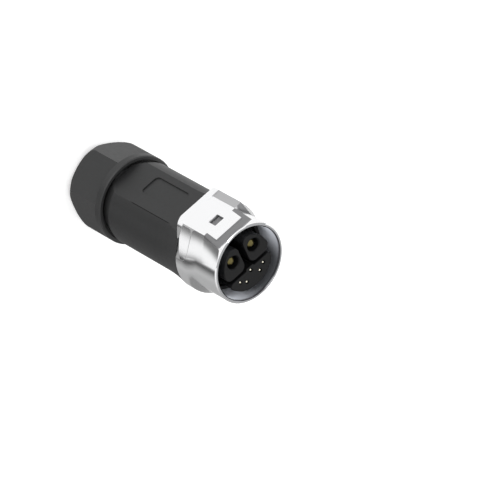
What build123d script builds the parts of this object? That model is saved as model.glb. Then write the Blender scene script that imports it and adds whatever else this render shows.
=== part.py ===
from build123d import *
import math
import os

# An in-line cable receptacle of a round power-and-signal connector pair.
# It stands on the cable end of its clamp nut: the connector's axis is +Z, the origin is on that
# axis at the nut's end face, and the mating face is on top. The catch for the mating plug's latch
# is on the -Y side. Left and right are as seen looking at the mating face with the catch up, so
# right is -X. Depths are measured down from the mating rim. All sizes are in millimetres.

# Clearances
seat_gap = 0.1
insert_fit = 0.08
thread_clearance = 0.1
moving_gap = 0.3

# Lengths along the axis: the shell is as long as what is stacked behind its rim
nut_length = 19.8
body_length_shown = 40.7
socket_depth = 11.0
insert_base_thickness = 3.0
carrier_thickness = 2.5
ring_flange_thickness = 1.4
shell_length = socket_depth + insert_base_thickness + carrier_thickness + ring_flange_thickness + 2 * seat_gap
catch_tail_length = 3.4
rim_z = nut_length + body_length_shown + shell_length
shell_rear_z = rim_z - shell_length
tail_rear_z = shell_rear_z - catch_tail_length

# Front shell: barrel and bore
barrel_radius = 14.0
barrel_wall = 1.2
mouth_radius = barrel_radius - barrel_wall
rim_chamfer = 0.4
mouth_chamfer = 0.3
shoulder_width = 0.5
rear_bore_radius = mouth_radius + shoulder_width

# Reach of the plain blocks that cut a side away
cut_reach = 2 * barrel_radius

# Front shell: catch block for the mating latch
catch_rise = 1.7
catch_flat_height = barrel_radius + catch_rise
catch_flat_half_width = 6.93
catch_front_drop = 2.2
catch_front_height = catch_flat_height - catch_front_drop
catch_front_half_width = 7.5
catch_ramp_length = 7.2
pad_half_width = 5.65
pad_start_depth = 2.9
pad_end_depth = 6.9
pad_step = 0.35
pocket_width = 4.0
pocket_length = 3.4
pocket_depth_from_rim = 8.8
pocket_sink = 1.0

# Front shell: collar, hood over the rear body and guard wing
collar_rise = 1.9
collar_radius = barrel_radius + collar_rise
collar_land_length = 3.3
collar_slope_length = 4.6
side_flat_turn = 140.0
side_flat_depth = 0.5
side_flat_length = 1.5
hood_wall = 2.0
hood_corner_round = 4.8
hood_sweep_slope = 0.318
hood_sweep_start = 1.7
wing_reach = 10.1
wing_foot_height = 6.2
wing_foot_x = math.sqrt(barrel_radius ** 2 - wing_foot_height ** 2)
wing_top_depth = 7.6
wing_foot_depth = 9.7
wing_ledge_sink = 0.25
wing_step_setback = 0.7
wing_overlap = 2.0

# Insulator block that carries the contacts
island_recess = 1.0
power_island_radius = 9.6
power_island_inner_x = 1.15
power_island_bottom = -1.65
power_island_round = 2.4
island_edge_chamfer = 0.15
signal_island_radius = 10.1
signal_island_top = -2.9
signal_island_round = 1.3
signal_hump_rise = 0.8
signal_hump_half_width = 1.3
signal_hump_foot_half_width = 2.3
insert_key_width = 2.4
insert_key_rise = 0.5

# Contacts, as seen on the mating face
power_x = 4.55
power_height = 3.9
power_hole_radius = 2.35
power_hole_chamfer = 0.35
power_pin_radius = 1.85
power_dome_height = 1.7
power_tip_recess = 0.9
power_flange_radius = 3.0
power_tail_radius = 2.3
power_tail_length = 12.5
power_wire_radius = 1.6
signal_middle_height = -3.7
signal_inner_x = 3.0
signal_inner_height = -6.5
signal_outer_x = 5.2
signal_outer_height = -4.8
signal_hole_radius = 0.7
signal_pin_radius = 0.5
signal_tip_recess = 0.2
signal_flange_radius = 1.1
signal_tail_radius = 0.9
signal_tail_length = 7.0
signal_cup_radius = 0.6
signal_cup_depth = 3.0
contact_flange_thickness = 1.5
contact_fit = 0.05
terminal_screw_radius = 1.25
terminal_screw_setback = 2.6
terminal_slot_width = 0.5
terminal_slot_depth = 0.5
terminal_screw_entry = 0.6
wire_bore_share = 0.6

# Coupling ring and seals
ring_flange_width = 2.0
ring_tube_radius = rear_bore_radius - ring_flange_width
ring_tube_wall = 1.5
ring_bore_radius = ring_tube_radius - ring_tube_wall
ring_tube_length = 4.5
ring_slot_width = 2.4
ring_slot_depth = 1.0
mating_seal_width = 1.1
mating_seal_thickness = 1.2
joint_ring_width = 1.0
joint_ring_chamfer = 0.25
joint_ring_setback = 2.2

# Rear body
body_rise = 0.7
body_radius = barrel_radius + body_rise
body_flat_drop = 1.5
body_flat_height = barrel_radius - body_flat_drop
body_flare_length = 11.5
body_rear_taper = 4.4
body_tuck = 1.0
body_flat_wall = 1.7
chamber_radius = body_flat_height - body_flat_wall
passage_wall = 2.0
panel_width = 7.8
panel_offset = 1.3
panel_length = 17.5
panel_setback = 11.5
panel_sink = 0.45
panel_corner_round = 1.6

# Clamp nut, its thread and the body's shoulder inside its front recess
nut_step = 0.1
nut_radius = collar_radius - nut_step
nut_wall = 3.8
nut_lip_width = 1.25
nut_lip_chamfer = 0.35
nut_front_gap = 1.35
body_rear_radius = nut_radius - nut_lip_width - nut_front_gap
thread_radius = nut_radius - nut_wall - thread_clearance
thread_depth = 0.5
thread_start_z = 8.0
nut_collar_length = 2.6
nut_end_round = 5.0
nut_recess_depth = 2.2
nut_floor = 2.0
nut_cone_length = 2.1
nut_corner_turn = 27.0

# Cable seal and clamp claw
tail_wall = 2.1
seal_seat_radius = thread_radius - tail_wall
seal_seat_setback = 3.0
seal_flange_thickness = 1.8
claw_wall = 1.3
claw_seal_gap = 0.3
seal_radius = seal_seat_radius - seat_gap - claw_wall - claw_seal_gap
seal_wall = 2.8
cable_radius = seal_radius - seal_wall
claw_finger_count = 8
claw_slot_width = 1.6
claw_ring_length = 3.4
claw_tip_step = 1.0
claw_tip_length = 1.6
claw_washer_gap = 0.3
seal_claw_setback = 1.0

# Slip washer
washer_thickness = 1.0
washer_width = 2.6

# Room for the cable in the rear body's passage and in the nut
passage_gap = 1.7
cable_passage_radius = cable_radius + passage_gap
nut_cable_gap = 1.9
nut_cable_radius = cable_radius + nut_cable_gap


def seen(x, up):
    """A point of the mating face, given as seen with the catch up, in the part's own X and Y."""
    return (-x, -up)


def disc(radius, low, high):
    """A solid cylinder on the axis between two heights."""
    return Pos(0, 0, low) * Cylinder(radius, high - low, align=(Align.CENTER, Align.CENTER, Align.MIN))


def tube(outer, inner, low, high):
    """A plain ring on the axis between two heights."""
    return disc(outer, low, high) - disc(inner, low, high)


def rod(x, up, radius, low, high):
    """A solid cylinder beside the axis, placed as seen on the mating face."""
    px, py = seen(x, up)
    return Pos(px, py, low) * Cylinder(radius, high - low, align=(Align.CENTER, Align.CENTER, Align.MIN))


def turned(points):
    """A body turned about the axis from radius and height pairs."""
    outline = Polyline(*[(r, 0, z) for r, z in points], close=True)
    return revolve(make_face(outline), Axis.Z)


def prism(points, low, high):
    """A straight prism on an outline given as seen on the mating face."""
    outline = Polyline(*[seen(x, up) for x, up in points], close=True)
    return Pos(0, 0, low) * extrude(make_face(outline), amount=high - low)


def tangent_turn(x, up, radius):
    """The angle at which the straight side from a catch corner touches a round body."""
    return math.atan2(up, x) - math.acos(radius / math.hypot(x, up))


def catch_outline(half_width, height, radius=barrel_radius):
    """The catch block's outline at one depth: a flat top with sides that run into the round body."""
    turn = tangent_turn(half_width, height, radius)
    foot_x = radius * math.cos(turn)
    foot_up = radius * math.sin(turn)
    return [(-half_width, height), (half_width, height), (foot_x, foot_up), (-foot_x, foot_up)]


def outline_face(points, z):
    """A flat face at one height, on an outline given as seen on the mating face."""
    return Pos(0, 0, z) * make_face(Polyline(*[seen(x, up) for x, up in points], close=True))


def catch_block():
    """The raised block on the barrel, with its front ramp."""
    ramp_end_z = rim_z - catch_ramp_length
    front = catch_outline(catch_front_half_width, catch_front_height)
    rear = catch_outline(catch_flat_half_width, catch_flat_height)
    ramp = loft([outline_face(rear, ramp_end_z), outline_face(front, rim_z)], ruled=True)
    edge = make_face(Polyline(
        (0, -(catch_front_height - rim_chamfer), rim_z),
        (0, -(catch_front_height + cut_reach), rim_z - rim_chamfer - cut_reach),
        (0, -(catch_front_height + cut_reach), rim_z + 1),
        (0, -(catch_front_height - rim_chamfer), rim_z + 1),
        close=True,
    ))
    ramp -= extrude(edge, amount=cut_reach, both=True)
    return ramp + prism(rear, shell_rear_z, ramp_end_z)


def catch_pad():
    """The tongue on the ramp, which stands a little proud and runs level with the flat."""
    front_height = catch_front_height
    front_height += (catch_flat_height - catch_front_height) * pad_start_depth / catch_ramp_length
    outline = Polyline(
        (0, -(barrel_radius - 1), rim_z - pad_start_depth),
        (0, -(front_height + pad_step), rim_z - pad_start_depth),
        (0, -catch_flat_height, rim_z - pad_end_depth),
        (0, -catch_flat_height, rim_z - catch_ramp_length - 1),
        (0, -(barrel_radius - 1), rim_z - catch_ramp_length - 1),
        close=True,
    )
    return extrude(make_face(outline), amount=pad_half_width, both=True)


def collar_face(radius, z):
    """A face on the collar's whole outline at one height: round, with the catch flat and its sides."""
    flat_left, flat_right, foot_right, foot_left = [
        seen(*point) for point in catch_outline(catch_flat_half_width, catch_flat_height, radius)]
    edges = Line(flat_left, flat_right) + Line(flat_right, foot_right)
    edges += ThreePointArc(foot_right, seen(0, -radius), foot_left) + Line(foot_left, flat_left)
    return Pos(0, 0, z) * make_face(edges)


def collar():
    """The raised collar at the back of the shell: a land, then a smooth slope down to the barrel."""
    land_z = shell_rear_z + collar_land_length
    steps = 6
    faces = []
    for i in range(steps + 1):
        share = i / steps
        rise = collar_rise * (1 + math.cos(math.pi * share)) / 2
        faces.append(collar_face(barrel_radius + rise, land_z + collar_slope_length * share))
    land = extrude(collar_face(collar_radius, shell_rear_z), amount=collar_land_length)
    return land + loft(faces) - side_flat()


def side_place(distance, run):
    """A point beside the shell's flat side face: out from the axis, then along the face."""
    turn = math.radians(side_flat_turn)
    x = distance * math.cos(turn) + run * math.sin(turn)
    return (x, distance * math.sin(turn) - run * math.cos(turn))


def side_prism(outline, distance):
    """What lies outside one distance on the flat side, on an outline of runs and heights."""
    points = [(*seen(*side_place(distance, run)), z) for run, z in outline]
    face = make_face(Polyline(*points, close=True))
    turn = math.radians(side_flat_turn)
    out_x, out_y = seen(math.cos(turn), math.sin(turn))
    return extrude(face, amount=cut_reach, dir=(out_x, out_y, 0))


def sweep_z(run):
    """Height of the hood's swept edge along the flat side."""
    return shell_rear_z - (run + hood_sweep_start) * hood_sweep_slope


def side_flat():
    """The cut that leaves a flat band above the hood's swept edge and the collar's rear edge."""
    half = math.sqrt(collar_radius ** 2 - side_flat_distance() ** 2)
    reach = 2 * half
    outline = [(-half, sweep_z(-half) + side_flat_length), (reach, sweep_z(reach) + side_flat_length),
               (reach, tail_rear_z - 1), (-half, tail_rear_z - 1)]
    return side_prism(outline, side_flat_distance())


def side_flat_distance():
    """Distance of the flat side face from the axis."""
    return collar_radius - side_flat_depth


def hood_block(gap):
    """The overhang of the catch flat and its left side behind the collar, grown by a gap all round."""
    turn = math.radians(side_flat_turn)
    low = body_flat_height + seat_gap - gap
    outer = side_flat_distance() + 2 * gap
    inner = side_flat_distance() - hood_wall - gap
    top = catch_flat_height + 2 * gap
    rear_z = tail_rear_z - gap
    top_run = (outer * math.sin(turn) - top) / math.cos(turn)
    low_run = (inner * math.sin(turn) - low) / math.cos(turn)
    block = prism([(0, top), side_place(outer, top_run), side_place(outer, -hood_sweep_start - gap),
                   side_place(inner, -hood_sweep_start - gap), side_place(inner, low_run), (0, low)],
                  rear_z, shell_rear_z)
    below = 2 * cut_reach
    swept = [(-cut_reach, sweep_z(-cut_reach) - gap), (cut_reach, sweep_z(cut_reach) - gap),
             (cut_reach, -below), (-cut_reach, -below)]
    return block - side_prism(swept, 0)


def hood():
    """The hood with its rounded outer corner."""
    block = hood_block(0)
    corner = block.edges().filter_by(Axis.Z).sort_by(Axis.Y)[:2].sort_by(Axis.X)[-1]
    return fillet(corner, hood_corner_round)


def guard_wing():
    """The guard on the right of the catch flat, with a front end that slopes back to the barrel."""
    inner = catch_flat_half_width - wing_overlap
    ledge = catch_flat_height - wing_ledge_sink
    wing = prism([(inner, ledge), (wing_reach, ledge), (wing_foot_x, wing_foot_height),
                  (catch_flat_half_width, wing_foot_height)], shell_rear_z, rim_z - wing_top_depth)
    slope = (wing_foot_depth - wing_top_depth) / (catch_flat_height - wing_foot_height)
    low_depth = wing_top_depth + slope * catch_flat_height
    front = Polyline((-cut_reach / 2, -catch_flat_height, rim_z - wing_top_depth),
                     (-cut_reach / 2, 0, rim_z - low_depth), (-cut_reach / 2, 0, rim_z),
                     (-cut_reach / 2, -catch_flat_height, rim_z), close=True)
    wing -= extrude(make_face(front), amount=cut_reach, dir=(1, 0, 0))
    low = body_flat_height + seat_gap
    step_z = shell_rear_z - wing_step_setback
    overhang = prism([(-seat_gap, catch_flat_height), (wing_reach, catch_flat_height),
                      (wing_reach, low), (-seat_gap, low)], tail_rear_z, step_z)
    ledge_end = prism([(inner, ledge), (wing_reach, ledge), (wing_reach, low), (inner, low)],
                      step_z, shell_rear_z)
    return wing + overhang + ledge_end


def front_shell():
    """The cast shell: barrel, catch, collar and wing around the socket's bore."""
    barrel = disc(barrel_radius, shell_rear_z, rim_z)
    barrel = chamfer(barrel.edges().group_by(Axis.Z)[-1], rim_chamfer)
    shell = barrel + catch_block() + catch_pad() + collar() + hood() + guard_wing()
    pocket_z = rim_z - pocket_depth_from_rim
    shell -= Pos(0, -catch_flat_height, pocket_z) * Box(pocket_width, 2 * pocket_sink, pocket_length)
    shell -= turned([
        (0, rim_z + 1), (mouth_radius + mouth_chamfer + 1, rim_z + 1), (mouth_radius, rim_z - mouth_chamfer),
        (mouth_radius, rim_z - socket_depth), (rear_bore_radius, rim_z - socket_depth),
        (rear_bore_radius, shell_rear_z - 1), (0, shell_rear_z - 1),
    ])
    key_slot = Pos(0, rear_bore_radius, shell_rear_z - 1) * Box(
        insert_key_width + 2 * insert_fit, 2 * (insert_key_rise + seat_gap), shell_length - socket_depth + 1,
        align=(Align.CENTER, Align.CENTER, Align.MIN))
    return shell - key_slot


def power_island(side):
    """One rounded island around a power contact, on the right for side 1 and the left for side -1."""
    reach = power_island_radius + 1
    quadrant = [(side * power_island_inner_x, power_island_bottom), (side * reach, power_island_bottom),
                (side * reach, reach), (side * power_island_inner_x, reach)]
    blank = prism(quadrant, insert_front_z(), island_top_z())
    island = blank & disc(power_island_radius, insert_front_z(), island_top_z())
    island = fillet(island.edges().filter_by(Axis.Z), power_island_round)
    return chamfer(island.edges().group_by(Axis.Z)[-1], island_edge_chamfer)


def signal_island():
    """The kidney-shaped island around the signal contacts."""
    reach = signal_island_radius + 1
    low = prism([(-reach, -reach), (reach, -reach), (reach, signal_island_top), (-reach, signal_island_top)],
                insert_front_z(), island_top_z())
    island = low & disc(signal_island_radius, insert_front_z(), island_top_z())
    island = fillet(island.edges().filter_by(Axis.Z), signal_island_round)
    island = chamfer(island.edges().group_by(Axis.Z)[-1], island_edge_chamfer)
    hump_top = signal_island_top + signal_hump_rise
    hump = prism([(-signal_hump_foot_half_width, signal_island_top - 0.5),
                  (signal_hump_foot_half_width, signal_island_top - 0.5),
                  (signal_hump_half_width, hump_top), (-signal_hump_half_width, hump_top)],
                 insert_front_z(), island_top_z())
    return island + hump


def signal_places():
    """The signal contacts' places, from left to right as seen on the mating face."""
    right = [(signal_inner_x, signal_inner_height), (signal_outer_x, signal_outer_height)]
    left = [(-x, up) for x, up in reversed(right)]
    return left + [(0.0, signal_middle_height)] + right


def insert_front_z():
    """Height of the insulator base's front face, which bears on the shell's shoulder."""
    return rim_z - socket_depth


def insert_rear_z():
    """Height of the insulator base's rear face."""
    return insert_front_z() - insert_base_thickness


def island_top_z():
    """Height of the islands' contact faces."""
    return rim_z - island_recess


def flange_top_z():
    """Height of the contacts' flanges, which are trapped between insulator and carrier."""
    return insert_rear_z() + contact_flange_thickness


def contact_insert():
    """The front insulator: base, islands, key and contact holes."""
    base = disc(rear_bore_radius - insert_fit, insert_rear_z(), insert_front_z() - seat_gap)
    key = Pos(0, rear_bore_radius, insert_rear_z()) * Box(
        insert_key_width, 2 * insert_key_rise, insert_base_thickness - seat_gap,
        align=(Align.CENTER, Align.CENTER, Align.MIN))
    foot_radius = mouth_radius - mating_seal_width - moving_gap
    foot = disc(foot_radius, insert_front_z() - 2 * seat_gap, insert_front_z())
    block = base + key + foot + power_island(1) + power_island(-1) + signal_island()
    for side in (1, -1):
        block -= rod(side * power_x, power_height, power_hole_radius, insert_front_z(), rim_z)
        block -= rod(side * power_x, power_height, power_pin_radius + contact_fit, insert_rear_z(), rim_z)
        block -= rod(side * power_x, power_height, power_flange_radius + contact_fit,
                     insert_rear_z(), flange_top_z() + contact_fit)
        px, py = seen(side * power_x, power_height)
        block -= Pos(px, py, island_top_z() - power_hole_chamfer) * Cone(
            power_hole_radius, power_hole_radius + power_hole_chamfer, power_hole_chamfer,
            align=(Align.CENTER, Align.CENTER, Align.MIN))
    for x, up in signal_places():
        block -= rod(x, up, signal_hole_radius, insert_front_z(), rim_z)
        block -= rod(x, up, signal_pin_radius + contact_fit, insert_rear_z(), rim_z)
        block -= rod(x, up, signal_flange_radius + contact_fit,
                     insert_rear_z(), flange_top_z() + contact_fit)
    return block


def carrier_plate():
    """The rear insulator plate that traps the contacts' flanges."""
    top = insert_rear_z()
    low = top - carrier_thickness
    plate = disc(rear_bore_radius - insert_fit, low, top)
    for side in (1, -1):
        plate -= rod(side * power_x, power_height, power_tail_radius + contact_fit, low, top)
    for x, up in signal_places():
        plate -= rod(x, up, signal_tail_radius + contact_fit, low, top)
    return plate


def domed_tip(radius, height, top):
    """The rounded end of a pin, as radius and height pairs up to its middle."""
    steps = 4
    turns = [math.radians(90 * i / steps) for i in range(steps + 1)]
    return [(radius * math.cos(turn), top - height * (1 - math.sin(turn))) for turn in turns]


def power_contact(side):
    """A turned power pin with a domed tip, a flange and a tail bored for its wire."""
    top = island_top_z() - power_tip_recess
    rear = insert_rear_z()
    px, py = seen(side * power_x, power_height)
    tail_low = rear - power_tail_length
    profile = [(0, tail_low), (power_tail_radius, tail_low), (power_tail_radius, rear),
               (power_flange_radius, rear), (power_flange_radius, flange_top_z()),
               (power_pin_radius, flange_top_z())]
    profile += domed_tip(power_pin_radius, power_dome_height, top)
    pin = Pos(px, py, 0) * turned(profile)
    pin -= rod(side * power_x, power_height, power_wire_radius, tail_low - 1,
               tail_low + power_tail_length * wire_bore_share)
    screw_z = tail_low + terminal_screw_setback
    bore = Cylinder(terminal_screw_radius + contact_fit, power_tail_radius + 1,
                    align=(Align.CENTER, Align.CENTER, Align.MIN))
    return pin - Pos(px, py, screw_z) * Rot(0, -90 * side, 0) * bore


def terminal_screw(side):
    """The slotted grub screw in a power contact's tail."""
    px, py = seen(side * power_x, power_height)
    screw_z = insert_rear_z() - power_tail_length + terminal_screw_setback
    length = power_tail_radius - power_wire_radius + 2 * terminal_screw_entry
    screw = Cylinder(terminal_screw_radius, length, align=(Align.CENTER, Align.CENTER, Align.MIN))
    slot_box = Box(2 * terminal_screw_radius + 1, terminal_slot_width, 2 * terminal_slot_depth)
    slot = Pos(0, 0, length) * slot_box
    entry = Pos(0, 0, power_wire_radius - terminal_screw_entry)
    return Pos(px, py, screw_z) * Rot(0, -90 * side, 0) * entry * (screw - slot)


def signal_contact(x, up):
    """A turned signal pin with a solder cup at its tail."""
    top = island_top_z() - signal_tip_recess
    rear = insert_rear_z()
    tail_low = rear - signal_tail_length
    px, py = seen(x, up)
    profile = [(0, tail_low), (signal_tail_radius, tail_low), (signal_tail_radius, rear),
               (signal_flange_radius, rear), (signal_flange_radius, flange_top_z()),
               (signal_pin_radius, flange_top_z())]
    profile += domed_tip(signal_pin_radius, signal_pin_radius, top)
    pin = Pos(px, py, 0) * turned(profile)
    pin -= rod(x, up, signal_cup_radius, tail_low - 1, tail_low + signal_cup_depth)
    open_side = Box(2 * signal_tail_radius, signal_tail_radius, signal_cup_depth,
                    align=(Align.CENTER, Align.CENTER, Align.MIN))
    return pin - Pos(px, py + signal_tail_radius, tail_low) * open_side


def coupling_ring():
    """The flanged ring that clamps the carrier in the shell and carries the rear body on its tube."""
    top = insert_rear_z() - carrier_thickness - seat_gap
    flange_low = top - ring_flange_thickness
    tube_low = shell_rear_z - ring_tube_length
    ring = tube(rear_bore_radius - insert_fit, ring_bore_radius, flange_low, top)
    ring += tube(ring_tube_radius, ring_bore_radius, tube_low, top)
    middle = joint_ring_z()
    ring -= tube(ring_tube_radius + 1, joint_ring_inner() - contact_fit,
                 middle - joint_ring_width / 2 - seat_gap, middle + joint_ring_width / 2 + seat_gap)
    slots = Pos(0, 0, tube_low) * Box(4 * ring_tube_radius, ring_slot_width, 2 * ring_slot_depth)
    return ring - slots


def mating_seal():
    """The flat rubber ring at the bottom of the socket."""
    low = insert_front_z()
    outer = mouth_radius - seat_gap
    return tube(outer, outer - mating_seal_width, low, low + mating_seal_thickness)


def joint_ring_z():
    """Height of the ring groove on the coupling ring's tube."""
    return shell_rear_z - joint_ring_setback


def joint_ring_inner():
    """Inner radius of the joint ring, which fills the gap from the groove to the rear body's bore."""
    return ring_tube_radius - joint_ring_width + seat_gap / 2


def joint_ring():
    """The cut rubber ring between the coupling ring and the rear body."""
    middle = joint_ring_z()
    inner = joint_ring_inner()
    ring = tube(inner + joint_ring_width, inner, middle - joint_ring_width / 2, middle + joint_ring_width / 2)
    outer_edges = ring.edges().filter_by(GeomType.CIRCLE).sort_by(SortBy.RADIUS)[-2:]
    return chamfer(outer_edges, joint_ring_chamfer)


def body_flare():
    """The hollow-curved flare that carries the body out to the shell's collar."""
    start = shell_rear_z - body_flare_length
    steps = 4
    profile = [(body_radius - 2, start), (body_radius, start)]
    for i in range(1, steps + 1):
        share = i / steps
        flare = (collar_radius - body_radius) * share * share
        profile.append((body_radius + flare, start + body_flare_length * share))
    profile.append((body_radius - 2, shell_rear_z))
    return turned(profile)


def body_tail_z():
    """Height where the body's full shoulder ends inside the nut's front recess."""
    return nut_length - body_tuck


def panel_pocket():
    """The shallow panel in the flat side, as the block that is cut away."""
    px, py = seen(panel_offset, body_flat_height)
    panel_low = shell_rear_z - panel_setback - panel_length
    pocket = Pos(px, py, panel_low) * Box(panel_width, 2 * panel_sink, panel_length,
                                          align=(Align.CENTER, Align.CENTER, Align.MIN))
    return fillet(pocket.edges().filter_by(Axis.Y), panel_corner_round)


def rear_body():
    """The moulded grip: round body with a flat panel side, front spigot and threaded tail."""
    tail = body_tail_z()
    outside = turned([(0, tail), (body_rear_radius, tail), (body_radius, tail + body_rear_taper),
                      (body_radius, shell_rear_z), (0, shell_rear_z)])
    outside += body_flare()
    outside -= Pos(0, -body_flat_height, tail) * Box(
        2 * cut_reach, cut_reach, shell_rear_z - tail, align=(Align.CENTER, Align.MAX, Align.MIN))
    outside -= hood_block(seat_gap)
    body = outside - panel_pocket()
    body += disc(thread_radius - thread_depth, thread_start_z, tail + 1)
    passage_top = seal_seat_z() + passage_wall
    body -= disc(chamber_radius, passage_top, shell_rear_z + 1)
    ring_low = shell_rear_z - ring_tube_length - seat_gap
    body -= disc(ring_tube_radius + seat_gap / 2, ring_low, shell_rear_z + 1)
    body -= disc(cable_passage_radius, seal_seat_z() - 1, passage_top + 1)
    body -= disc(seal_seat_radius, thread_start_z - 1, seal_seat_z())
    return body


def seal_seat_z():
    """Height of the seat that the cable seal's flange is pressed against."""
    return nut_length - seal_seat_setback


def claw_top_z():
    """Height of the claw's ring end, under the seal's flange."""
    return seal_seat_z() - seal_flange_thickness - 2 * seat_gap


def claw_tip_z():
    """Height of the claw's finger tips, just above the slip washer."""
    return nut_floor + seat_gap + washer_thickness + claw_washer_gap


def cable_seal():
    """The rubber bush that grips the cable, with a flange against the body."""
    top = seal_seat_z() - seat_gap
    flange_low = top - seal_flange_thickness
    low = claw_tip_z() + seal_claw_setback
    return turned([(cable_radius, low), (seal_radius, low), (seal_radius, flange_low),
                   (seal_seat_radius - seat_gap, flange_low), (seal_seat_radius - seat_gap, top),
                   (cable_radius, top)])


def clamp_claw():
    """The ring of fingers that the nut closes on the seal."""
    outer = seal_seat_radius - seat_gap
    inner = outer - claw_wall
    low = claw_tip_z()
    top = claw_top_z()
    claw = turned([(inner, low), (outer - claw_tip_step, low), (outer, low + claw_tip_length),
                   (outer, top), (inner, top)])
    for i in range(claw_finger_count):
        slot = Pos(outer - claw_wall / 2, 0, low - 1) * Box(
            2 * claw_wall + 1, claw_slot_width, top - claw_ring_length - low + 1,
            align=(Align.CENTER, Align.CENTER, Align.MIN))
        claw -= Rot(0, 0, 360 / claw_finger_count * i) * slot
    return claw


def slip_washer():
    """The smooth washer that keeps the turning nut off the claw."""
    outer = seal_seat_radius
    low = nut_floor + seat_gap
    return tube(outer, outer - washer_width, low, low + washer_thickness)


def nut_outside():
    """The six-sided grip with a round collar at the front and a rounded cable end."""
    collar_low = nut_length - nut_collar_length
    grip = extrude(Rot(0, 0, nut_corner_turn) * RegularPolygon(nut_radius, 6), amount=nut_length)
    steps = 6
    dome = [(0, 0), (nut_radius - nut_end_round, 0)]
    for i in range(1, steps + 1):
        turn = math.radians(90 * i / steps)
        dome.append((nut_radius - nut_end_round + nut_end_round * math.sin(turn),
                     nut_end_round - nut_end_round * math.cos(turn)))
    dome += [(nut_radius, nut_length), (0, nut_length)]
    grip = (grip & turned(dome)) + disc(nut_radius, collar_low, nut_length)
    return chamfer(grip.edges().group_by(Axis.Z)[-1], nut_lip_chamfer)


def clamp_nut():
    """The clamp nut with its cable hole, washer pocket, thread bore and front recess."""
    bore = thread_radius + thread_clearance
    cone_low = claw_tip_z() + claw_tip_length
    inside = turned([
        (0, -1), (nut_cable_radius, -1), (nut_cable_radius, nut_floor),
        (seal_seat_radius + seat_gap, nut_floor), (seal_seat_radius + moving_gap, cone_low),
        (bore, cone_low + nut_cone_length), (bore, nut_length - nut_recess_depth),
        (nut_radius - nut_lip_width, nut_length - nut_recess_depth),
        (nut_radius - nut_lip_width, nut_length + 1), (0, nut_length + 1),
    ])
    return nut_outside() - inside


def parts():
    """Every piece with its node name."""
    pieces = {
        "front_shell": front_shell(),
        "contact_insert": contact_insert(),
        "carrier_plate": carrier_plate(),
        "coupling_ring": coupling_ring(),
        "mating_seal": mating_seal(),
        "joint_ring": joint_ring(),
        "rear_body": rear_body(),
        "cable_seal": cable_seal(),
        "clamp_claw": clamp_claw(),
        "slip_washer": slip_washer(),
        "clamp_nut": clamp_nut(),
    }
    for side, word in ((-1, "left"), (1, "right")):
        pieces["power_contact_" + word] = power_contact(side)
        pieces["terminal_screw_" + word] = terminal_screw(side)
    for i, (x, up) in enumerate(signal_places()):
        pieces["signal_contact_" + str(i + 1)] = signal_contact(x, up)
    return pieces


os.makedirs("parts", exist_ok=True)
for name, solid in parts().items():
    export_step(solid, "parts/" + name + ".step")
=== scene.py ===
import math

import bpy
from mathutils import Matrix, Vector


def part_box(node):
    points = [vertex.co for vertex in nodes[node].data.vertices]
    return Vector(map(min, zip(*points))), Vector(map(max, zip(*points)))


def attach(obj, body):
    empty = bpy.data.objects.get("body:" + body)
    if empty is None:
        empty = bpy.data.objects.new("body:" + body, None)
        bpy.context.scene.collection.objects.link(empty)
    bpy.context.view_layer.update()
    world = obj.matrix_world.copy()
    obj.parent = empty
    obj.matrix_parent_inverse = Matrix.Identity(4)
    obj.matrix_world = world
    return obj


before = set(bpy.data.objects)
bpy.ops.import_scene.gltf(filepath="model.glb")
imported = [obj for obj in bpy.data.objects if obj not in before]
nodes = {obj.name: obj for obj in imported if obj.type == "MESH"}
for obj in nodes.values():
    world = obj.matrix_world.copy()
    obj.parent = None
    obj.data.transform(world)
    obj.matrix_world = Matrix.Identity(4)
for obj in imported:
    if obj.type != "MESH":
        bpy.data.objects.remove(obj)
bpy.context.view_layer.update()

# An in-line cable receptacle, standing on its clamp nut. The connector's axis is +Z and the catch
# for the mating latch is on the -Y side. Lengths are in metres. A depth is measured down from the
# mating rim and a height from the axis towards the catch, and right is right on the mating face.

MM = 0.001
scene = bpy.context.scene
rim_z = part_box("front_shell")[1].z

# Camera: its place from the centre of the mating rim, and how it looks at the part
camera_from_rim = (344.6 * MM, -702.3 * MM, 734.5 * MM)
camera_azimuth = 26.42
camera_elevation = 43.30
camera_roll = 119.2
camera_lens_mm = 240.48
camera_sensor_mm = 36.0
camera_clip = (0.05, 20.0)

# Shell: barrel, socket and collar
barrel_radius = 14.0 * MM
mouth_radius = 12.8 * MM
mouth_chamfer = 0.3 * MM
mouth_depth = 0.8 * MM
bore_end_depth = 12.0 * MM
slope_start_depth = 10.0 * MM
slope_end_depth = 15.0 * MM
collar_radius = 15.9 * MM
shell_length = 18.1 * MM
rear_bore_radius = 13.3 * MM

# Shell: the catch's flat, ramp, pad and pocket
flat_height = 15.7 * MM
flat_half_width = 6.93 * MM
edge_width = 0.35 * MM
ramp_length = 7.2 * MM
ramp_half_width = 7.45 * MM
ramp_front_height = 13.3 * MM
pad_half_width = 5.65 * MM
pad_start_depth = 2.9 * MM
pocket_half_width = 2.0 * MM
pocket_start_depth = 7.1 * MM
pocket_end_depth = 10.5 * MM
pocket_heights = (14.0 * MM, 15.2 * MM)

# Shell: the guard wing at the right, with its front and the ledge on top
wing_front_depths = (7.4 * MM, 10.6 * MM)
wing_front_heights = (6.0 * MM, 15.4 * MM)
wing_front_fade = (7.3 * MM, 8.6 * MM)
ledge_height = 15.2 * MM
ledge_reach = 10.3 * MM
ledge_end_depth = 18.8 * MM

# Shell: the flat band at the left, by its turn away from the catch and its distance from the axis
side_flat_turn = 50.0
side_flat_distances = (15.38 * MM, 15.43 * MM)
side_flat_start_depths = (12.0 * MM, 12.1 * MM)

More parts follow.
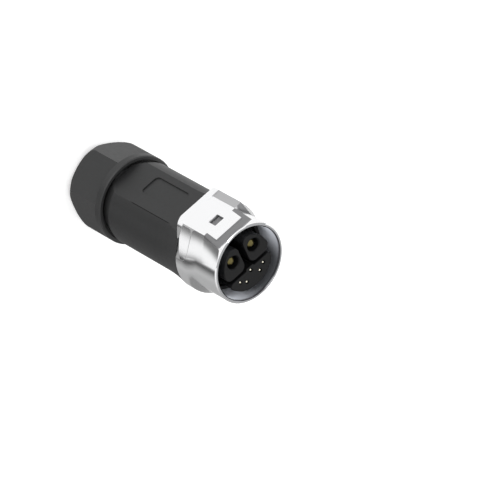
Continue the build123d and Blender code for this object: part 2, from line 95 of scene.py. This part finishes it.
# Side of the catch: it meets the barrel at a tangent and rises to the flat's edge
side_reach = math.hypot(flat_half_width, flat_height)
side_turn = math.atan2(flat_half_width, flat_height) + math.acos(barrel_radius / side_reach)
side_foot = (barrel_radius * math.sin(side_turn), barrel_radius * math.cos(side_turn))
side_run = (-math.cos(side_turn), math.sin(side_turn))
side_facing = (math.sin(side_turn), -math.cos(side_turn), 0.0)
side_crown = 15.0
side_blend = (-0.1 * MM, 0.3 * MM)
collar_blend = 0.4 * MM

# Edges of the shell's finishes: how soft they are and how far they pass a size
mask_soft = 0.02 * MM
fine_soft = 0.01 * MM
mask_margin = 0.05 * MM
rim_skin = 0.03 * MM
slope_margin = 0.3 * MM
slope_blend = 0.2 * MM
slope_softening = 0.12

# Slit across the catch flat behind the barrel, which a strip closes
slit_low_z = 59.8 * MM
slit_high_z = 60.5 * MM
slit_end_x = -4.93 * MM

# Thread on the rear body's tail
thread_low_z = 8.0 * MM
thread_high_z = 18.8 * MM
thread_core_radius = 11.4 * MM
thread_crest_radius = 11.88 * MM
thread_pitch = 1.5 * MM
thread_root_width = 1.1 * MM
thread_crest_width = 0.35 * MM
thread_sink = 0.05 * MM

# Fine dark line along the left edge of the body's flat, painted shade along that edge
line_x = 7.7 * MM
line_width = 0.22 * MM
line_y = -12.0 * MM
line_low_z = 32.6 * MM
line_high_z = 52.6 * MM
line_soft = 0.04 * MM
line_fade = 1.0 * MM
line_shade_darkness = 0.2
line_gloss = 0.05

# Colours, as linear red, green and blue
plate_colour = (0.965, 0.968, 0.975)
rim_colour = (0.38, 0.385, 0.395)
# The mouth's near-black is painted shade: a dark ring just inside the rim.
mouth_painted_shade_colour = (0.05, 0.05, 0.055)
# The bore is dull metal, and its dark colour is also painted shade inside the socket.
bore_dull_and_shade_colour = (0.105, 0.109, 0.118)
strip_colour = (0.55, 0.553, 0.556)
cast_colour = (0.25, 0.25, 0.255)
ledge_colour = (0.50, 0.50, 0.505)
body_colour = (0.020, 0.0204, 0.0208)
nut_colour = (0.024, 0.0244, 0.0248)
insert_colour = (0.004, 0.0041, 0.0044)
rubber_colour = (0.010, 0.010, 0.0105)
nylon_colour = (0.40, 0.39, 0.36)
# The brass is darkened as painted shade of the power pins, deep in their holes.
brass_painted_shade_colour = (0.15, 0.127, 0.052)
pale_gold_colour = (0.95, 0.90, 0.74)
steel_colour = (0.52, 0.52, 0.53)

# How rough and how metallic the shell is
plate_rough = (0.12, 0.20)
dull_rough = 0.28
bore_metallic = 0.1
brush_stretch = (1.0, 1.0, 0.08)
brush_scale = 2400.0
brush_strength = 0.05
brush_height = 0.01 * MM

# Gloss of the body's plastic, and the depth of a fine grain
body_gloss = 0.42
grain_height = 0.02 * MM

# Floor, just below the part
floor_half_size = 6.0
floor_drop = 0.02 * MM
floor_grey = 0.80
floor_glow = 0.42

# Grey bands that polished metal reflects from below, as azimuth in degrees and level, and how far
# up they fade to white
reflected_bands = [(-180, 0.42), (-155, 1.0), (40, 1.0), (52, 0.16), (63, 0.16), (73, 1.0),
                   (85, 1.0), (96, 0.06), (100, 0.08), (112, 0.36), (122, 0.50), (140, 0.43), (180, 0.42)]
band_fade = (0.25, 0.60)

# Lamps: name, place, size and power
room_lamps = [("key", (0.1, -0.9, 0.9), 0.6, 3.0), ("fill", (-0.9, 0.3, 0.6), 0.8, 1.5)]
socket_lamps = [("socket_1", (0.20, 0.35, 0.34), 0.25, 25.0),
                ("socket_2", (-0.40, 0.035, 0.34), 0.25, 22.0)]


class Nodes:
    """Short calls that add shader nodes to one node tree."""

    def __init__(self, tree):
        self.tree = tree

    def add(self, kind, **settings):
        node = self.tree.nodes.new(kind)
        for key, value in settings.items():
            setattr(node, key, value)
        return node

    def link(self, output, target):
        self.tree.links.new(output, target)

    def value(self, socket, source):
        """Set a socket from a number, a colour or another node's output."""
        if isinstance(source, bpy.types.NodeSocket):
            self.link(source, socket)
        else:
            socket.default_value = source

    def split(self, vector):
        """The X, Y and Z of a vector."""
        node = self.add("ShaderNodeSeparateXYZ")
        self.link(vector, node.inputs[0])
        return node.outputs

    def math(self, operation, first, second=0.0, clamp=False):
        node = self.add("ShaderNodeMath", operation=operation, use_clamp=clamp)
        self.value(node.inputs[0], first)
        self.value(node.inputs[1], second)
        return node.outputs[0]

    def largest(self, *values):
        """The largest of several values."""
        result = values[0]
        for value in values[1:]:
            result = self.math("MAXIMUM", result, value)
        return result

    def mix(self, factor, first, second):
        """Blend two colours."""
        node = self.add("ShaderNodeMix", data_type="RGBA")
        self.value(node.inputs["Factor"], factor)
        for socket, source in ((node.inputs[6], first), (node.inputs[7], second)):
            self.value(socket, source if isinstance(source, bpy.types.NodeSocket) else (*source, 1))
        return node.outputs[2]

    def mix_vectors(self, factor, first, second):
        """Blend two vectors."""
        node = self.add("ShaderNodeMix", data_type="VECTOR")
        self.link(factor, node.inputs["Factor"])
        self.link(first, node.inputs[4])
        self.link(second, node.inputs[5])
        return node.outputs[1]

    def step(self, value, low, high):
        """0 below low, 1 above high, smooth between."""
        node = self.add("ShaderNodeMapRange", interpolation_type="SMOOTHSTEP")
        self.value(node.inputs["Value"], value)
        node.inputs["From Min"].default_value = low
        node.inputs["From Max"].default_value = high
        return node.outputs["Result"]

    def invert(self, mask):
        return self.math("SUBTRACT", 1.0, mask)

    def above(self, value, limit, soft):
        """1 above a limit and 0 below it."""
        return self.step(value, limit - soft, limit + soft)

    def below(self, value, limit, soft):
        """1 below a limit and 0 above it."""
        return self.invert(self.above(value, limit, soft))

    def inside(self, value, low, high, soft):
        """1 between two limits and 0 outside them."""
        rise = self.above(value, low, soft)
        fall = self.above(value, high, soft)
        return self.math("SUBTRACT", rise, fall, clamp=True)

    def both(self, *masks):
        """The product of several masks."""
        result = masks[0]
        for mask in masks[1:]:
            result = self.math("MULTIPLY", result, mask)
        return result

    def noise(self, vector, scale, detail=2.0, roughness=0.5):
        node = self.add("ShaderNodeTexNoise")
        self.value(node.inputs["Vector"], vector)
        node.inputs["Scale"].default_value = scale
        node.inputs["Detail"].default_value = detail
        node.inputs["Roughness"].default_value = roughness
        return node.outputs["Fac"]

    def stretched(self, vector, factors):
        node = self.add("ShaderNodeVectorMath", operation="MULTIPLY")
        self.value(node.inputs[0], vector)
        node.inputs[1].default_value = factors
        return node.outputs[0]

    def bump(self, height, strength, distance, normal=None):
        """A normal that follows a height, on top of another normal where one is given."""
        node = self.add("ShaderNodeBump")
        node.inputs["Strength"].default_value = strength
        node.inputs["Distance"].default_value = distance
        self.link(height, node.inputs["Height"])
        if normal is not None:
            self.link(normal, node.inputs["Normal"])
        return node.outputs["Normal"]

    def spread(self, value, low, high):
        """Map a 0 to 1 value to a range."""
        node = self.add("ShaderNodeMapRange")
        self.value(node.inputs["Value"], value)
        node.inputs["To Min"].default_value = low
        node.inputs["To Max"].default_value = high
        return node.outputs["Result"]


def scaled(colour, factor):
    """A colour, lighter or darker."""
    return tuple(c * factor for c in colour)


def new_material(name):
    """A material with an empty tree, its shader and the position in the part's frame."""
    material = bpy.data.materials.new(name)
    material.use_nodes = True
    tree = material.node_tree
    tree.nodes.clear()
    n = Nodes(tree)
    shader = n.add("ShaderNodeBsdfPrincipled")
    output = n.add("ShaderNodeOutputMaterial")
    n.link(shader.outputs[0], output.inputs[0])
    position = n.add("ShaderNodeTexCoord").outputs["Object"]
    return material, n, shader, position


def mottled(n, position, colour, mottle=0.10):
    """A plastic's colour, with faint flow marks."""
    flow = n.noise(position, 60.0, 3.0)
    return n.mix(flow, scaled(colour, 1 - mottle), scaled(colour, 1 + mottle))


def moulded(n, shader, position, rough, grain_strength, rough_spread=0.06):
    """A moulded surface: fine even grain and a slightly uneven gloss."""
    speckle = n.noise(position, 900.0, 2.0)
    n.value(shader.inputs["Roughness"], n.spread(speckle, rough - rough_spread, rough + rough_spread))
    fine = n.noise(position, 2200.0, 3.0, 0.6)
    n.value(shader.inputs["Normal"], n.bump(fine, grain_strength, grain_height))


def plastic(name, colour, rough, gloss=0.5, grain_strength=0.12):
    """Moulded plastic."""
    material, n, shader, position = new_material(name)
    shader.inputs["Specular IOR Level"].default_value = gloss
    n.value(shader.inputs["Base Color"], mottled(n, position, colour))
    moulded(n, shader, position, rough, grain_strength)
    return material


def body_plastic():
    """The body's moulded plastic, with a fine dark line of painted shade along the left edge of its flat.
    """
    material, n, shader, position = new_material("body_plastic")
    x, y, z = n.split(position)
    line = n.both(n.inside(x, line_x - line_width / 2, line_x + line_width / 2, line_soft),
                  n.below(y, line_y, line_soft),
                  n.inside(z, line_low_z, line_high_z, line_fade))
    colour = n.mix(line, mottled(n, position, body_colour), scaled(body_colour, line_shade_darkness))
    n.value(shader.inputs["Base Color"], colour)
    n.value(shader.inputs["Specular IOR Level"], n.spread(line, body_gloss, line_gloss))
    moulded(n, shader, position, rough=0.48, grain_strength=0.12)
    return material


def rubber(name, colour):
    """Moulded rubber: dull, with a soft sheen and a slight bloom."""
    material, n, shader, position = new_material(name)
    bloom = n.noise(position, 120.0, 4.0)
    n.value(shader.inputs["Base Color"], n.mix(bloom, colour, scaled(colour, 1.5)))
    n.value(shader.inputs["Roughness"], n.spread(bloom, 0.62, 0.78))
    fine = n.noise(position, 2600.0, 2.0)
    n.value(shader.inputs["Normal"], n.bump(fine, 0.10, grain_height))
    return material


def metal(name, colour, rough):
    """Plain turned metal with fine rings of tool marks."""
    material, n, shader, position = new_material(name)
    shader.inputs["Metallic"].default_value = 1.0
    tone = n.noise(position, 400.0, 2.0)
    n.value(shader.inputs["Base Color"], n.mix(tone, scaled(colour, 0.94), colour))
    rings = n.noise(n.stretched(position, (1.0, 1.0, 20.0)), 1500.0, 2.0)
    n.value(shader.inputs["Roughness"], n.spread(rings, rough - 0.04, rough + 0.06))
    n.value(shader.inputs["Normal"], n.bump(rings, 0.03, grain_height))
    return material


class ShellPlace:
    """Where a point of the shell is, as node outputs."""

    def __init__(self, n, position):
        x, y, z = n.split(position)
        self.left = x
        self.right = n.math("MULTIPLY", x, -1.0)
        self.height = n.math("MULTIPLY", y, -1.0)
        self.depth = n.math("SUBTRACT", rim_z, z)
        self.aside = n.math("ABSOLUTE", x)
        squares = n.math("ADD", n.math("MULTIPLY", x, x), n.math("MULTIPLY", y, y))
        self.radius = n.math("SQRT", squares)


def shell_masks(n, at):
    """Where each finish of the shell lies, and the ring of painted shade just inside the mouth."""
    on_ramp = n.both(n.above(at.height, ramp_front_height, mask_soft),
                     n.inside(at.depth, edge_width, ramp_length, mask_soft),
                     n.below(at.aside, ramp_half_width, mask_soft))
    on_pad = n.both(n.below(at.aside, pad_half_width, mask_soft),
                    n.above(at.depth, pad_start_depth, mask_soft))
    ramp = n.both(on_ramp, n.invert(on_pad))
    pocket = n.both(n.below(at.aside, pocket_half_width + mask_margin, mask_soft),
                    n.inside(at.depth, pocket_start_depth - mask_margin,
                             pocket_end_depth + mask_margin, mask_soft),
                    n.inside(at.height, *pocket_heights, mask_soft))
    wing_front = n.both(n.step(at.right, *wing_front_fade),
                        n.inside(at.depth, *wing_front_depths, mask_soft),
                        n.inside(at.height, *wing_front_heights, mask_soft))
    ledge = n.both(n.inside(at.right, flat_half_width, ledge_reach, mask_soft),
                   n.step(at.height, ledge_height, ledge_height + mask_margin),
                   n.below(at.depth, ledge_end_depth, mask_soft))
    turn = math.radians(side_flat_turn)
    out = n.math("ADD", n.math("MULTIPLY", at.height, math.cos(turn)),
                 n.math("MULTIPLY", at.left, math.sin(turn)))
    strip = n.both(n.inside(out, *side_flat_distances, fine_soft),
                   n.step(at.depth, *side_flat_start_depths))
    rim = n.both(n.below(at.depth, rim_skin, fine_soft),
                 n.below(at.radius, barrel_radius, mask_soft))
    # A near-black ring just inside the mouth, painted shade.
    mouth = n.both(n.below(at.radius, mouth_radius + mouth_chamfer, mask_soft),
                   n.inside(at.depth, rim_skin, mouth_depth, mask_soft))
    # The bore: dull metal, its dark colour partly painted shade inside the socket.
    bore = n.both(n.below(at.radius, mouth_radius + mask_margin, mask_soft),
                  n.inside(at.depth, mouth_chamfer, bore_end_depth, mask_soft))
    return {"ledge": ledge, "strip": strip, "rim": rim, "bore": bore, "mouth": mouth,
            "cast": n.largest(ramp, pocket, wing_front)}


def shell_normal(n, at, strip, brushed):
    """The shell's normal: a softened slope, an evened and crowned side of the catch, brushed marks."""
    # The collar's slope is shaded nearly flush with the barrel
    on_slope = n.both(n.inside(at.depth, slope_start_depth, slope_end_depth, slope_blend),
                      n.inside(at.radius, barrel_radius - slope_margin, collar_radius + mask_margin,
                               mask_soft),
                      n.invert(n.step(at.height, flat_height - slope_blend, flat_height)))
    facing = n.add("ShaderNodeNewGeometry").outputs["Normal"]
    flatter = n.add("ShaderNodeVectorMath", operation="NORMALIZE")
    n.link(n.stretched(facing, (1.0, 1.0, slope_softening)), flatter.inputs[0])
    smooth = n.mix_vectors(on_slope, facing, flatter.outputs[0])

    # Over the slope and the collar, the catch's left side faces as it does beside the barrel
    across = n.math("ADD", n.math("MULTIPLY", n.math("SUBTRACT", at.aside, side_foot[0]), side_run[0]),
                    n.math("MULTIPLY", n.math("SUBTRACT", at.height, side_foot[1]), side_run[1]))
    left_side = n.both(n.above(at.left, flat_half_width - fine_soft, fine_soft),
                       n.below(at.height, flat_height - mask_soft, fine_soft),
                       n.below(at.depth, shell_length - fine_soft, fine_soft))
    evened = n.both(left_side, n.step(across, *side_blend), n.invert(strip),
                    n.step(at.depth, slope_start_depth - collar_blend, slope_start_depth))
    side = n.add("ShaderNodeVectorTransform", vector_type="NORMAL", convert_from="OBJECT",
                 convert_to="WORLD")
    side.inputs[0].default_value = side_facing
    straight = n.mix_vectors(evened, smooth, side.outputs[0])

    # That side is slightly crowned, so that it turns towards the flat
    climb = n.math("MAXIMUM", across, 0.0)
    crown = n.both(n.math("MULTIPLY", n.math("MULTIPLY", climb, climb), -side_crown), left_side)
    crowned = n.bump(crown, 1.0, 1.0, straight)
    return n.bump(brushed, brush_strength, brush_height, crowned)


def shell_metal():
    """Bright nickel plate, with duller metal on the ramp, pocket, guard, side strip, rim and bore. The
    bore's dark colour is partly painted shade, and the near-black ring just inside the mouth is painted
    shade.
    """
    material, n, shader, position = new_material("nickel_plate")
    at = ShellPlace(n, position)
    masks = shell_masks(n, at)
    colour = n.mix(n.noise(position, 90.0, 3.0), scaled(plate_colour, 0.97), plate_colour)
    # The bore's dark colour and the mouth's near-black ring are painted shade inside the socket; the bore
    # is also dull metal.
    for name, finish in (("ledge", ledge_colour), ("strip", strip_colour), ("rim", rim_colour),
                         ("bore", bore_dull_and_shade_colour), ("mouth", mouth_painted_shade_colour), ("cast", cast_colour)):
        colour = n.mix(masks[name], colour, finish)
    n.value(shader.inputs["Base Color"], colour)
    n.value(shader.inputs["Metallic"], n.spread(masks["bore"], 1.0, bore_metallic))

    brushed = n.noise(n.stretched(position, brush_stretch), brush_scale, 3.0)
    dull = n.largest(masks["cast"], masks["ledge"], masks["strip"], masks["bore"])
    rough = n.math("ADD", n.spread(brushed, *plate_rough), n.math("MULTIPLY", dull, dull_rough))
    n.value(shader.inputs["Roughness"], rough)
    n.value(shader.inputs["Normal"], shell_normal(n, at, masks["strip"], brushed))
    return material


def make_materials():
    """Every finish that the part has, by name."""
    return {
        "shell": shell_metal(),
        "body": body_plastic(),
        "nut": plastic("nut_plastic", nut_colour, rough=0.46, gloss=0.45),
        "insert": plastic("insert_plastic", insert_colour, rough=0.50, gloss=0.18, grain_strength=0.06),
        "nylon": plastic("claw_nylon", nylon_colour, rough=0.45, grain_strength=0.05),
        "seal": rubber("seal_rubber", rubber_colour),
        "ring": metal("ring_metal", plate_colour, rough=0.28),
        # The power contacts' dark brass is partly painted shade.
        "brass": metal("contact_brass", brass_painted_shade_colour, rough=0.30),
        "pale_gold": metal("contact_gold", pale_gold_colour, rough=0.16),
        "steel": metal("screw_steel", steel_colour, rough=0.30),
    }


def dress_nodes(finish):
    """Give every CAD node its material. The signal contacts are pale gold."""
    named = {
        "front_shell": "shell", "coupling_ring": "ring", "contact_insert": "insert",
        "carrier_plate": "insert", "mating_seal": "seal", "joint_ring": "seal", "cable_seal": "seal",
        "rear_body": "body", "clamp_nut": "nut", "clamp_claw": "nylon", "slip_washer": "nylon",
        "terminal_screw_left": "steel", "terminal_screw_right": "steel",
        "power_contact_left": "brass", "power_contact_right": "brass",
    }
    for name, thing in nodes.items():
        thing.data.materials.clear()
        thing.data.materials.append(finish[named.get(name, "pale_gold")])


def new_piece(name, points, faces, material):
    """A mesh piece that rides with the connector's body."""
    mesh = bpy.data.meshes.new(name)
    mesh.from_pydata(points, [], faces)
    mesh.validate()
    mesh.materials.append(material)
    thing = bpy.data.objects.new(name, mesh)
    scene.collection.objects.link(thing)
    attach(thing, "connector")
    return thing


def ring_strip(count, rings):
    """Quads that join each ring of points to the next."""
    return [(ring * count + i, ring * count + (i + 1) % count,
             (ring + 1) * count + (i + 1) % count, (ring + 1) * count + i)
            for ring in range(rings - 1) for i in range(count)]


def flat_strip(material):
    """The strip that closes the catch flat behind the barrel, shaped to the shell's bore inside."""
    steps = 12
    outline = [(0.0, -flat_height), (slit_end_x, -flat_height)]
    for i in range(steps + 1):
        x = slit_end_x * (1 - i / steps)
        outline.append((x, -math.sqrt(rear_bore_radius ** 2 - x ** 2)))
    points = [(x, y, z) for z in (slit_low_z, slit_high_z) for x, y in outline]
    count = len(outline)
    faces = ring_strip(count, 2) + [tuple(range(count))[::-1], tuple(range(count, 2 * count))]
    return new_piece("catch_flat_strip", points, faces, material)


def tail_thread(material):
    """The thread ridge on the rear body's tail, which the clamp nut turns on."""
    steps = 64
    run_out = steps / 4
    low = thread_low_z + thread_root_width / 2
    rise = thread_high_z - thread_root_width / 2 - low
    rings = round(steps * rise / thread_pitch) + 1
    root = thread_core_radius - thread_sink
    points = []
    for ring in range(rings):
        turn = 2 * math.pi * ring / steps
        middle = low + thread_pitch * ring / steps
        share = min(1.0, ring / run_out, (rings - 1 - ring) / run_out)
        crest = thread_core_radius + (thread_crest_radius - thread_core_radius) * share
        for radius, half in ((root, -thread_root_width / 2), (crest, -thread_crest_width / 2),
                             (crest, thread_crest_width / 2), (root, thread_root_width / 2)):
            points.append((radius * math.cos(turn), radius * math.sin(turn), middle + half))
    last = 4 * (rings - 1)
    faces = ring_strip(4, rings) + [(3, 2, 1, 0), (last, last + 1, last + 2, last + 3)]
    return new_piece("tail_thread", points, faces, material)


def floor_white():
    """A floor finish that glows a little for the camera, so that it shows white under the part."""
    material = bpy.data.materials.new("floor_white")
    material.use_nodes = True
    tree = material.node_tree
    tree.nodes.clear()
    n = Nodes(tree)
    diffuse = n.add("ShaderNodeBsdfDiffuse")
    diffuse.inputs["Color"].default_value = (floor_grey, floor_grey, floor_grey, 1)
    glow = n.add("ShaderNodeEmission")
    seen = n.add("ShaderNodeLightPath")
    n.link(n.math("MULTIPLY", seen.outputs["Is Camera Ray"], floor_glow), glow.inputs["Strength"])
    both = n.add("ShaderNodeAddShader")
    n.link(diffuse.outputs[0], both.inputs[0])
    n.link(glow.outputs[0], both.inputs[1])
    output = n.add("ShaderNodeOutputMaterial")
    n.link(both.outputs[0], output.inputs[0])
    return material


def make_floor():
    """A pale floor that shows white and keeps the part's shadow."""
    mesh = bpy.data.meshes.new("floor")
    size = floor_half_size
    corners = [(-size, -size, 0), (size, -size, 0), (size, size, 0), (-size, size, 0)]
    mesh.from_pydata(corners, [], [(0, 1, 2, 3)])
    mesh.materials.append(floor_white())
    floor = bpy.data.objects.new("floor", mesh)
    scene.collection.objects.link(floor)
    floor.location.z = -floor_drop
    floor.visible_glossy = False


def make_world():
    """White surroundings, with soft grey bands that only polished surfaces see."""
    world = bpy.data.worlds.new("studio")
    scene.world = world
    world.use_nodes = True
    tree = world.node_tree
    tree.nodes.clear()
    n = Nodes(tree)
    white = (1.0, 1.0, 1.0)
    x, y, z = n.split(n.add("ShaderNodeTexCoord").outputs["Generated"])
    turn = n.math("ARCTAN2", x, n.math("MULTIPLY", y, -1.0))
    around = n.math("ADD", n.math("DIVIDE", turn, 2 * math.pi), 0.5)
    ramp = n.add("ShaderNodeValToRGB")
    ramp.color_ramp.interpolation = "EASE"
    elements = ramp.color_ramp.elements
    while len(elements) > 1:
        elements.remove(elements[-1])
    for i, (azimuth, level) in enumerate(reflected_bands):
        place = azimuth / 360 + 0.5
        element = elements[0] if i == 0 else elements.new(place)
        element.position = place
        element.color = (level, level, level, 1)
    n.link(around, ramp.inputs[0])
    low = n.invert(n.step(z, *band_fade))
    banded = n.mix(low, white, ramp.outputs[0])
    path = n.add("ShaderNodeLightPath")
    background = n.add("ShaderNodeBackground")
    n.link(n.mix(path.outputs["Is Glossy Ray"], white, banded), background.inputs[0])
    background.inputs[1].default_value = 1.0
    output = n.add("ShaderNodeOutputWorld")
    n.link(background.outputs[0], output.inputs[0])


def area_light(name, place, size, power):
    """A soft square lamp that faces the middle of the part."""
    lamp = bpy.data.lights.new(name, "AREA")
    lamp.size = size
    lamp.energy = power
    thing = bpy.data.objects.new(name, lamp)
    scene.collection.objects.link(thing)
    thing.location = place
    aim = Vector((0, 0, rim_z / 2)) - Vector(place)
    thing.rotation_euler = aim.to_track_quat("-Z", "Y").to_euler()
    return thing


def make_lights():
    """A soft key and fill, and two lamps that light only the shell, for the walls of its socket."""
    for lamp in room_lamps:
        area_light(*lamp)
    lit = bpy.data.collections.new("socket_light")
    lit.objects.link(nodes["front_shell"])
    for lamp in socket_lamps:
        thing = area_light(*lamp)
        thing.visible_glossy = False
        thing.light_linking.receiver_collection = lit


def make_camera():
    """A camera at the photograph's viewing angle."""
    camera = bpy.data.cameras.new("camera")
    camera.lens = camera_lens_mm
    camera.sensor_width = camera_sensor_mm
    camera.clip_start, camera.clip_end = camera_clip
    thing = bpy.data.objects.new("camera", camera)
    scene.collection.objects.link(thing)
    azimuth = math.radians(camera_azimuth)
    elevation = math.radians(camera_elevation)
    level = Matrix.Rotation(azimuth, 4, "Z") @ Matrix.Rotation(math.pi / 2 - elevation, 4, "X")
    place = Matrix.Translation(Vector((0, 0, rim_z)) + Vector(camera_from_rim))
    thing.matrix_world = place @ level @ Matrix.Rotation(math.radians(camera_roll), 4, "Z")
    scene.camera = thing


scene.view_settings.view_transform = "Standard"
finish = make_materials()
dress_nodes(finish)
flat_strip(finish["shell"])
tail_thread(finish["body"])
make_floor()
make_world()
make_lights()
make_camera()

bpy.context.view_layer.update()
